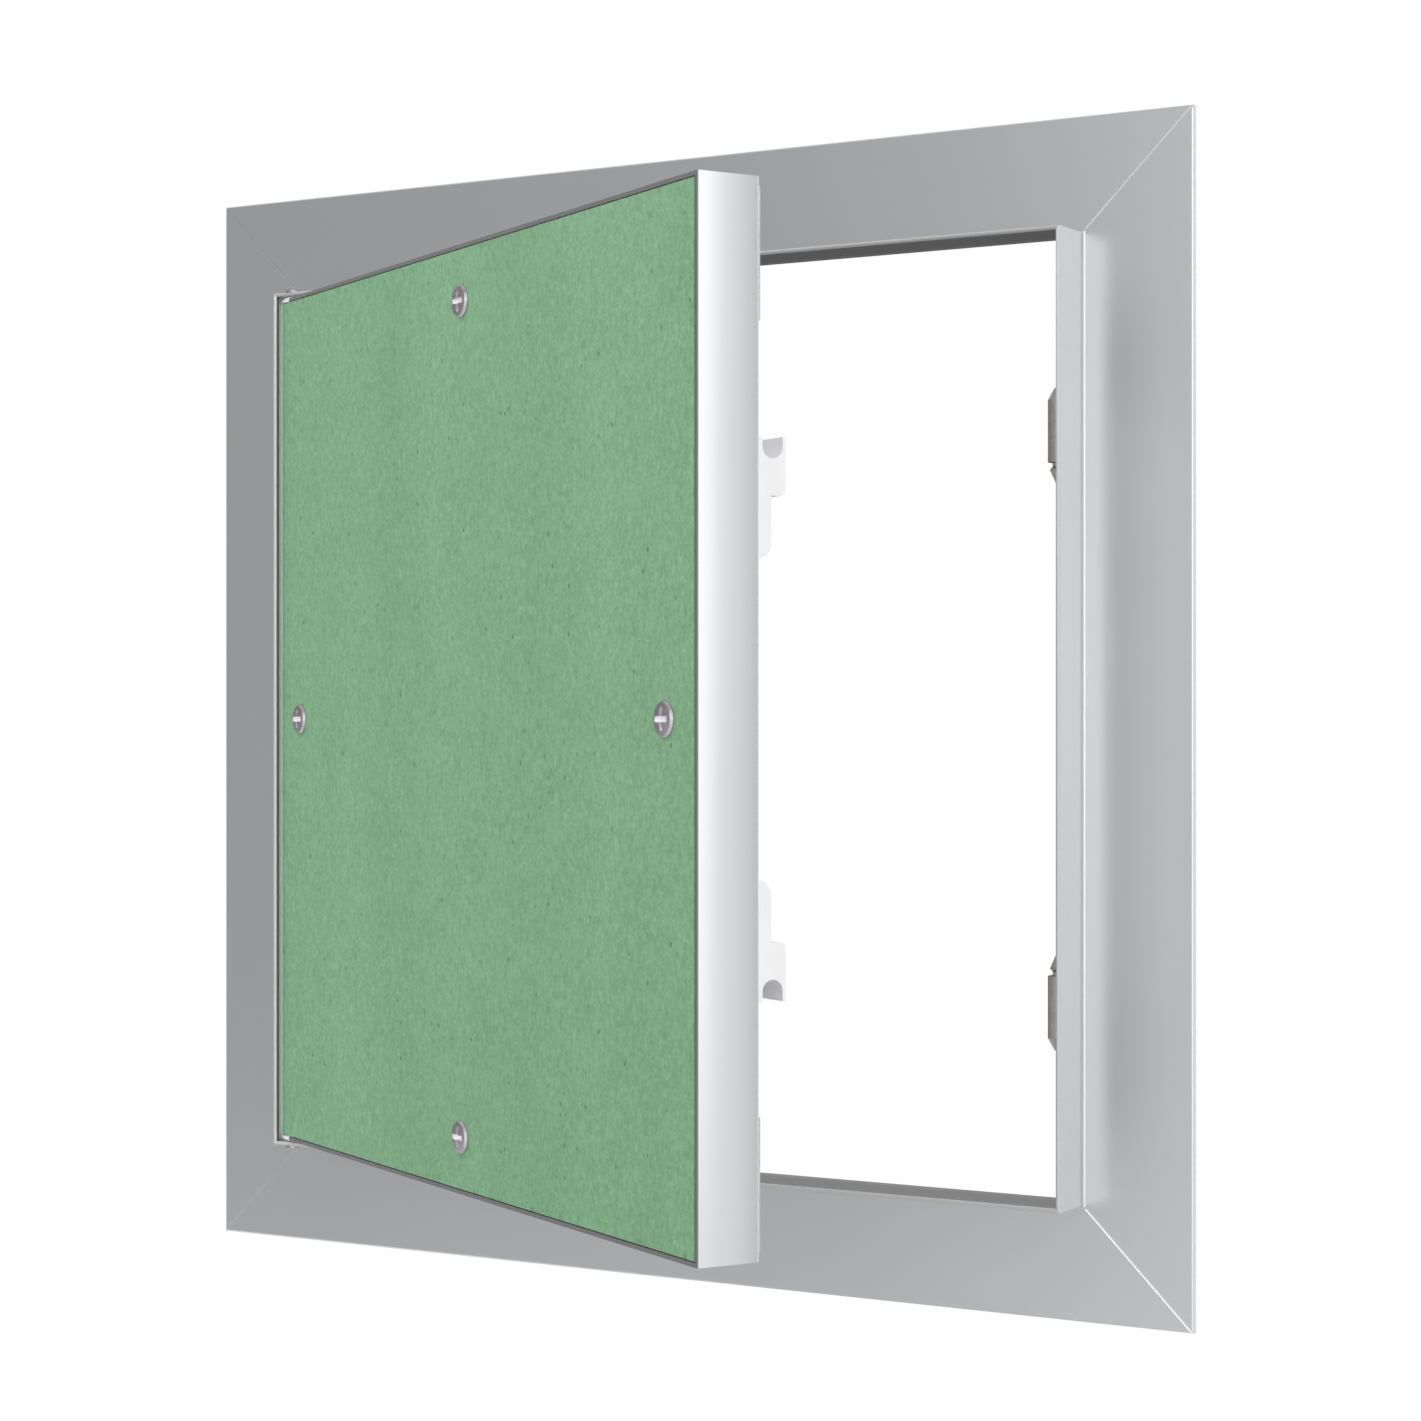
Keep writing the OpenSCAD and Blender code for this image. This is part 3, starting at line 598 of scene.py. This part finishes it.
def door_edge_finish(name, along, painted_return_tone):
    """Satin aluminium on the turned door, with a crowned wall, a matt front in a painted tone (painted light on the
    hinge side, painted shade of the shadow gap elsewhere) and a dull leg on its back.
    """
    material, add, shader, normal = satin_aluminium(name, EDGE_TONE, along, EDGE_ROUGHNESS, DOOR_TURN)
    relief(material, add, crown_height(material, add), 1.0, shader, normal)
    # The front takes its painted tone: painted light on the hinge side, painted shade elsewhere.
    cut = band(material, add, door_into, *(door_front + depth for depth in RETURN_DEPTHS), RETURN_FADE)
    turn_matt(material, add, shader, cut, painted_return_tone, RETURN_METAL)
    leg = band(material, add, door_into, *(door_front + LIP_HEIGHT + depth for depth in LEG_DEPTHS), LEG_FADE)
    turn_matt(material, add, shader, leg, LEG_TONE, LEG_METAL)
    return material


dress(door_edge_finish("edge_satin_hinge", 2, HINGE_RETURN_PAINTED_LIGHT), "door_edge_left")
dress(door_edge_finish("edge_satin_free", 2, FREE_RETURN_PAINTED_SHADE), "door_edge_right")
dress(door_edge_finish("edge_satin_across", 0, ACROSS_RETURN_PAINTED_SHADE), "door_edge_top", "door_edge_bottom")

# %% [markdown]
# Board paper.
# Moisture-resistant plasterboard has a green paper face with a soft mottle, short upright fibres and a few dark
# flecks. Each is a noise at its own scale, laid over the one before: soft upright bands of several centimetres,
# patches of a centimetre, a mottle and a grain of a millimetre or two, fibres stretched upright, and flecks where a
# cell pattern falls below a small radius. The grey paper on the back has the same recipe.

# %% Board paper finish
GREEN_PAPER = ((0.192, 0.378, 0.215), (0.221, 0.404, 0.242), (0.075, 0.19, 0.10), 0.1)
GREY_PAPER = ((0.52, 0.50, 0.45), (0.60, 0.58, 0.53), (0.27, 0.24, 0.2), 0.08)
BAND_SCALE = 16
BAND_STRETCH = 0.12
BAND_EDGES = (0.35, 0.65)
PAPER_LAYERS = {  # waves to the metre, detail, roughness, upright stretch, darkest and lightest shade
    "patches": (90, 3, 0.55, 1, 0.965, 1.03),
    "mottle": (520, 4, 0.6, 1, 0.90, 1.09),
    "grain": (1500, 3, 0.65, 1, 0.85, 1.15),
    "fibres": (1100, 3, 0.6, 0.45, 0.92, 1.07),
}
FLECK_SCALE = 560
FLECK_STRETCH = 0.65
FLECK_RADII = (0.12, 0.24)
FLECK_STRENGTH = 0.9
PAPER_ROUGHNESS = (0.82, 0.95)
PAPER_SPECULAR = 0.25
MOTTLE_RELIEF = 0.00003
FIBRE_RELIEF = 0.00002


def flecks(material, add, share):
    """How much a fleck covers: full within a small radius of a cell's point, and only in a share of the cells."""
    cells = add("ShaderNodeTexVoronoi", feature="F1")
    cells.inputs["Scale"].default_value = FLECK_SCALE
    link(material, own_coordinates(material, add, (1, 1, FLECK_STRETCH), DOOR_TURN), cells.inputs["Vector"])
    near = spread(material, add, cells.outputs["Distance"], 1, 0, *FLECK_RADII)
    draw = add("ShaderNodeSeparateColor")
    link(material, cells.outputs["Color"], draw.inputs["Color"])
    few = spread(material, add, draw.outputs["Red"], 0, FLECK_STRENGTH, 1 - share, 1 - share / 2)
    return calculate(material, add, "MULTIPLY", near, few)


def fibrous_paper(name, deep, pale, fleck, fleck_share):
    """Matte paper: upright bands run between two tones, patches, mottle, grain and fibres shift them, and flecks
    darken a few spots. The mottle and the fibres also raise the surface."""
    material, add, shader = bare_finish(name)
    upright = own_coordinates(material, add, (1, 1, BAND_STRETCH), DOOR_TURN)
    paper = tint(material, add, noise(material, add, upright, BAND_SCALE), deep, pale, *BAND_EDGES)
    fields = {}
    for layer, (scale, detail, roughness, stretch, dark, light) in PAPER_LAYERS.items():
        coordinates = own_coordinates(material, add, (1, 1, stretch), DOOR_TURN)
        fields[layer] = noise(material, add, coordinates, scale, detail, roughness)
        shade = tint(material, add, fields[layer], (dark, dark, dark), (light, light, light))
        paper = over(material, add, 1.0, paper, shade, "MULTIPLY")
    flecked = over(material, add, flecks(material, add, fleck_share), paper, fleck)
    link(material, flecked, shader.inputs["Base Color"])
    link(material, spread(material, add, fields["mottle"], *PAPER_ROUGHNESS), shader.inputs["Roughness"])
    shader.inputs["Specular IOR Level"].default_value = PAPER_SPECULAR
    mottled = relief(material, add, fields["mottle"], MOTTLE_RELIEF, shader)
    relief(material, add, fields["fibres"], FIBRE_RELIEF, shader, mottled)
    return material


dress(fibrous_paper("green_board_paper", *GREEN_PAPER), "board_face_paper")
dress(fibrous_paper("grey_board_paper", *GREY_PAPER), "board_back_paper")

# %% [markdown]
# Gypsum.
# The core between the papers only shows as a thin pale line in the shadow gap. It is a dull white with pores, made
# from a fine cell pattern that sinks the surface and darkens it as painted shade in the pores.

# %% Gypsum finish
GYPSUM_TONES = ((0.80, 0.78, 0.73), (0.90, 0.88, 0.84))
GYPSUM_CLOUDS = 60
PORE_SCALE = 1400
PORE_RADII = (0.05, 0.3)
# Pores are darkened by this tone: painted shade inside them.
PORE_SHADE_TONE = (0.6, 0.58, 0.54)
PORE_SHADE_SHARE = 0.4
PORE_DEPTH = 0.0001
GYPSUM_ROUGHNESS = 0.95


def porous_gypsum():
    """Dull off-white: a soft cloud in tone, and small pores that sink the surface and darken it with painted shade."""
    material, add, shader = bare_finish("porous_gypsum")
    coordinates = own_coordinates(material, add)
    body = tint(material, add, noise(material, add, coordinates, GYPSUM_CLOUDS, 4), *GYPSUM_TONES)
    pores = add("ShaderNodeTexVoronoi", feature="F1")
    pores.inputs["Scale"].default_value = PORE_SCALE
    link(material, coordinates, pores.inputs["Vector"])
    pitted = spread(material, add, pores.outputs["Distance"], 0, 1, *PORE_RADII)
    shade = tint(material, add, pitted, PORE_SHADE_TONE, (1, 1, 1), 0, 1)
    link(material, over(material, add, PORE_SHADE_SHARE, body, shade, "MULTIPLY"), shader.inputs["Base Color"])
    shader.inputs["Roughness"].default_value = GYPSUM_ROUGHNESS
    relief(material, add, pitted, PORE_DEPTH, shader)
    return material


dress(porous_gypsum(), "board_core")

# %% [markdown]
# Plated steel and cast zinc.
# Screws, pins, keys and plates are zinc plated steel, with a faint crystal pattern of the plating. The catches are
# dull castings with a coarser grain, and the plungers are turned. One recipe covers all of them: a cell pattern for
# crystals, a noise for stains, and a tone, a roughness and a crystal size for each part.

# %% Steel finishes
CRYSTAL_SHADES = (0.92, 1.07)
CRYSTALS_A_STAIN = 4
STAIN_ROUGHNESS = 0.6
STAIN_EDGES = (0.35, 0.6)
DULLED = 0.08
POLISHED = 0.04
STAIN_RELIEF = 0.00001


def plated_steel(name, tone, roughness, crystal, stain=0.2):
    """Metal with crystals of plating that shift its tone, and soft stains that darken and dull it."""
    material, add, shader = bare_finish(name)
    coordinates = own_coordinates(material, add)
    crystals = add("ShaderNodeTexVoronoi", feature="F1")
    crystals.inputs["Scale"].default_value = crystal
    link(material, coordinates, crystals.inputs["Vector"])
    shade = add("ShaderNodeSeparateColor")
    link(material, crystals.outputs["Color"], shade.inputs["Color"])
    darker, lighter = (times(tone, factor) for factor in CRYSTAL_SHADES)
    body = tint(material, add, shade.outputs["Green"], darker, lighter, 0, 1)
    stains = noise(material, add, coordinates, crystal / CRYSTALS_A_STAIN, 4, STAIN_ROUGHNESS)
    stained = tint(material, add, stains, times((1, 1, 1), 1 - stain), (1, 1, 1), *STAIN_EDGES)
    link(material, over(material, add, 1.0, body, stained, "MULTIPLY"), shader.inputs["Base Color"])
    polish = spread(material, add, stains, roughness + DULLED, roughness - POLISHED)
    link(material, polish, shader.inputs["Roughness"])
    shader.inputs["Metallic"].default_value = 1.0
    relief(material, add, stains, STAIN_RELIEF, shader)
    return material


dress(plated_steel("small_screw_steel", (0.50, 0.50, 0.49), 0.34, 1800),
      "key_screws", "catch_screws", "plate_screws", "strike_screws")
dress(plated_steel("plate_steel", (0.55, 0.55, 0.55), 0.36, 500),
      "door_plate_top_right", "door_plate_top_left", "door_plate_bottom_left", "door_plate_bottom_right")
dress(plated_steel("key_steel", (0.50, 0.50, 0.51), 0.38, 500),
      "corner_key_top_right", "corner_key_top_left", "corner_key_bottom_left", "corner_key_bottom_right",
      "slot_nut_upper", "slot_nut_lower")
dress(plated_steel("pin_steel", (0.40, 0.40, 0.41), 0.48, 2500), "hinge_pin_upper", "hinge_pin_lower")
dress(plated_steel("catch_zinc", (0.47, 0.466, 0.45), 0.42, 1400, 0.1), "catch_body_upper", "catch_body_lower")
dress(plated_steel("plunger_steel", (0.52, 0.52, 0.50), 0.3, 2200), "catch_plunger_upper", "catch_plunger_lower")

# %% [markdown]
# The board screws.
# Their heads are darker than the other screws, and the cross recesses take a pale matt tone as a painted highlight of
# their lit walls. A second material on the faces of the recess would need a change to the mesh, so the recess is found
# by its place instead: near a screw's axis and below the top of its head.

# %% Board screw finish
SCREW_INSET = 0.0883
FRONT_Y = -0.0125
HEAD_PROUD = 0.0012
RECESS_REACH = 0.0026
REACH_FADE = 1.02
RECESS_FROM = 0.0005
RECESS_DEEP = 0.002
RECESS_FADE = 0.00005
# Pale matt tone in the cross recesses: a painted highlight.
RECESS_HIGHLIGHT_TONE = (0.95, 0.93, 0.96)
RECESS_METAL = 0.25


def recess_highlight_mask(material, add):
    """One inside the cross recesses of the four screws. On the shut door they stand at the same distance from the
    middle along both axes, so the larger distance less that inset, and the smaller distance, tell how far off a
    screw's axis a point is."""
    shut = add("ShaderNodeVectorMath", operation="ADD")
    shut.inputs[1].default_value = HINGE - Matrix.Rotation(DOOR_TURN, 3, "Z") @ HINGE
    link(material, own_coordinates(material, add, (1, 1, 1), DOOR_TURN), shut.inputs[0])
    sizes = add("ShaderNodeVectorMath", operation="ABSOLUTE")
    link(material, shut.outputs["Vector"], sizes.inputs[0])
    parts = add("ShaderNodeSeparateXYZ")
    link(material, sizes.outputs["Vector"], parts.inputs["Vector"])
    larger = calculate(material, add, "MAXIMUM", parts.outputs["X"], parts.outputs["Z"])
    pair = add("ShaderNodeCombineXYZ")
    link(material, calculate(material, add, "SUBTRACT", larger, SCREW_INSET), pair.inputs["X"])
    link(material, calculate(material, add, "MINIMUM", parts.outputs["X"], parts.outputs["Z"]), pair.inputs["Y"])
    reach = add("ShaderNodeVectorMath", operation="LENGTH")
    link(material, pair.outputs["Vector"], reach.inputs[0])
    near = spread(material, add, reach.outputs["Value"], 1, 0, RECESS_REACH, REACH_FADE * RECESS_REACH)
    top = HEAD_PROUD - FRONT_Y
    sunk = between(material, add, parts.outputs["Y"], top - RECESS_DEEP, top - RECESS_FROM, RECESS_FADE)
    return calculate(material, add, "MULTIPLY", near, sunk)


board_screw_steel = plated_steel("board_screw_steel", (0.48, 0.455, 0.49), 0.42, 1800, 0.1)
add = node_adder(board_screw_steel)
# The cross recesses take a painted highlight.
turn_matt(board_screw_steel, add, board_screw_steel.node_tree.nodes["Principled BSDF"],
          recess_highlight_mask(board_screw_steel, add), RECESS_HIGHLIGHT_TONE, RECESS_METAL)
dress(board_screw_steel, "board_screws")

# %% [markdown]
# Moulded nylon.
# The strikes and the hinge bushes are white mouldings. Nylon lets a little light in, so the shader has a touch of
# light under the surface, and the mould leaves a fine spark-eroded grain.

# %% Nylon finish
GRAIN_SCALE = 3800
GRAIN_ROUGHNESS = (0.42, 0.56)
GRAIN_RELIEF = 0.00001
NYLON_CLOUDS = 120
NYLON_SHADES = (0.97, 1.02)
LIGHT_INSIDE = 0.12
LIGHT_DEPTH = 0.001
LIGHT_DEPTH_SCALE = 0.5


def moulded_nylon(name, tone):
    """White plastic with a fine grain, faint clouds in tone and a little light below the surface."""
    material, add, shader = bare_finish(name)
    coordinates = own_coordinates(material, add)
    grain = noise(material, add, coordinates, GRAIN_SCALE, 2)
    clouds = noise(material, add, coordinates, NYLON_CLOUDS)
    darker, lighter = (times(tone, factor) for factor in NYLON_SHADES)
    link(material, tint(material, add, clouds, darker, lighter), shader.inputs["Base Color"])
    link(material, spread(material, add, grain, *GRAIN_ROUGHNESS), shader.inputs["Roughness"])
    shader.inputs["Subsurface Weight"].default_value = LIGHT_INSIDE
    shader.inputs["Subsurface Radius"].default_value = (LIGHT_DEPTH, LIGHT_DEPTH, LIGHT_DEPTH)
    shader.inputs["Subsurface Scale"].default_value = LIGHT_DEPTH_SCALE
    relief(material, add, grain, GRAIN_RELIEF, shader)
    return material


dress(moulded_nylon("strike_nylon", (0.86, 0.86, 0.87)), "strike_upper", "strike_lower")
dress(moulded_nylon("bush_nylon", (0.84, 0.84, 0.84)), "hinge_bush_upper", "hinge_bush_lower")

# %% [markdown]
# Springs of the catches.
# Each catch has a small compression spring behind its plunger. A curve with a round bevel would draw it, but a
# formula is as short: a circle of wire carried along a helix whose first and last coils lie flat. The plunger presses
# the spring together.

# %% Wind the springs
WIRE_RADIUS = 0.0002
SPRING_COILS = 6
CLOSED_SHARE = 0.16
WIRE_SIDES = 12
STEPS_A_TURN = 40


def wound_spring(name, node):
    """A ring of wire points carried round the axis: the angle grows evenly, and the height rises by one wire in each
    closed end and evenly between them."""
    low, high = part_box(node)
    centre = (low + high) / 2
    mean_radius = (high.x - low.x) / 2 - WIRE_RADIUS
    bottom, top = low.z + WIRE_RADIUS, high.z - WIRE_RADIUS
    share = np.linspace(0, 1, SPRING_COILS * STEPS_A_TURN + 1)[:, None]
    closed = 2 * WIRE_RADIUS / (top - bottom)
    rise = np.interp(share, [0, CLOSED_SHARE, 1 - CLOSED_SHARE, 1], [0, closed, 1 - closed, 1])
    turn = 2 * np.pi * SPRING_COILS * share
    side = np.linspace(0, 2 * np.pi, WIRE_SIDES, endpoint=False)[None, :]
    out = mean_radius + WIRE_RADIUS * np.cos(side)
    grid = np.stack([centre.x + out * np.cos(turn), centre.y + out * np.sin(turn),
                     bottom + (top - bottom) * rise + WIRE_RADIUS * np.sin(side)], axis=-1)
    spring = surface(name, grid, closed_across=True)
    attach(spring, "frame")
    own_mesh(spring)
    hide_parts(node)
    return spring


spring_steel = plated_steel("spring_steel", (0.48, 0.48, 0.49), 0.25, 4000)
for level in ("upper", "lower"):
    coil = wound_spring("spring_coil_" + level, "catch_spring_" + level)
    coil.data.materials.append(spring_steel)
dress(spring_steel, "catch_spring_upper", "catch_spring_lower")

# %% [markdown]
# Thread of the board screws.
# Each board screw comes out behind the door with a sharp thread. The thread is a triangle carried along a helix that
# follows the shank and then narrows with the point. It is worked out in the door's own shut position and then turned
# with the door about the hinge.

# %% Cut the threads
SCREW_PLACES = {"top": (0, 1), "bottom": (0, -1), "left": (-1, 0), "right": (1, 0)}
THREAD_PITCH = 0.0009
THREAD_RISE = 0.0005
THREAD_OUTWARD = np.array([[-0.15, 1.0, -0.15]])
THREAD_ALONG = np.array([[-0.42, 0.0, 0.42]]) * THREAD_PITCH
SHANK_RADIUS = 0.00175
TIP_RADIUS = 0.0003
TIP_RISE_SHARE = 0.3
THREAD_FROM_Y = 0.0004
SHANK_END_Y = 0.0018
POINT_END_Y = 0.0032


def with_the_door(points):
    """Points of the shut door turned about the hinge to where the open door carries them."""
    shifted = points - np.array(HINGE)
    c, s = math.cos(DOOR_TURN), math.sin(DOOR_TURN)
    turned = np.stack([c * shifted[..., 0] + s * shifted[..., 1], c * shifted[..., 1] - s * shifted[..., 0],
                       shifted[..., 2]], axis=-1)
    return turned + np.array(HINGE)


def screw_thread(name, x, z):
    """A triangle carried round the screw: it moves back by one pitch in each turn, and its root follows the shank and
    then the cone of the point."""
    turns = (POINT_END_Y - THREAD_FROM_Y) / THREAD_PITCH
    turn = np.linspace(0, 2 * np.pi * turns, int(STEPS_A_TURN * turns))[:, None]
    depth = THREAD_FROM_Y + THREAD_PITCH * turn / (2 * np.pi)
    root = np.interp(depth, [SHANK_END_Y, POINT_END_Y], [SHANK_RADIUS, TIP_RADIUS])
    crest = THREAD_RISE * np.interp(depth, [SHANK_END_Y, POINT_END_Y], [1, TIP_RISE_SHARE])
    radius = root + crest * THREAD_OUTWARD
    grid = np.stack([x + radius * np.cos(turn), depth + THREAD_ALONG, z + radius * np.sin(turn)], axis=-1)
    thread = surface(name, with_the_door(grid), closed_across=True)
    thread.data.materials.append(nodes["board_screws"].data.materials[0])
    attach(thread, "door")


for place, (x, z) in SCREW_PLACES.items():
    screw_thread("screw_thread_" + place, x * SCREW_INSET, z * SCREW_INSET)

# %% [markdown]
# Paper raised round the screws.
# Where a screw is driven through board, its head presses the paper and a low uneven ring swells round it. The ring is
# a smooth bump across its width, and a few waves round the head make its height and its reach uneven.

# %% Raise the paper
HEAD_RADIUS = 0.0035
UNDER_HEAD = 0.0002
SWELL_WIDTH = 0.0012
SWELL_HEIGHT = 0.00008
PAPER_SUNK = 0.00003
RING_SPOKES = 97
RING_STEPS = 9
THREE_WAVES = 0.25
SEVEN_WAVES = 0.15
WAVY_REACH = 0.1
WAVE_START = 0.25


def swollen_paper(name, x, z, shift):
    """A ring round the screw: height is part of a half wave across its width, times one plus three and seven small
    waves round the head. Its outer rim dips just below the paper."""
    angle = np.linspace(0, 2 * np.pi, RING_SPOKES)[None, :]
    across = np.linspace(0, 1, RING_STEPS)[:, None]
    wave = 1 + THREE_WAVES * np.sin(3 * angle + shift) + SEVEN_WAVES * np.sin(7 * angle + 2 * shift)
    radius = HEAD_RADIUS - UNDER_HEAD + SWELL_WIDTH * across * (1 - WAVY_REACH + WAVY_REACH * wave)
    height = SWELL_HEIGHT * wave * np.sin(np.pi * (WAVE_START + (1 - WAVE_START) * across)) - PAPER_SUNK * across
    grid = np.stack([x + radius * np.cos(angle), FRONT_Y - height, z + radius * np.sin(angle)], axis=-1)
    ring = surface(name, with_the_door(grid))
    ring.data.materials.append(nodes["board_face_paper"].data.materials[0])
    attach(ring, "door")


for shift, (place, (x, z)) in enumerate(SCREW_PLACES.items()):
    swollen_paper("screw_paper_" + place, x * SCREW_INSET, z * SCREW_INSET, float(shift))
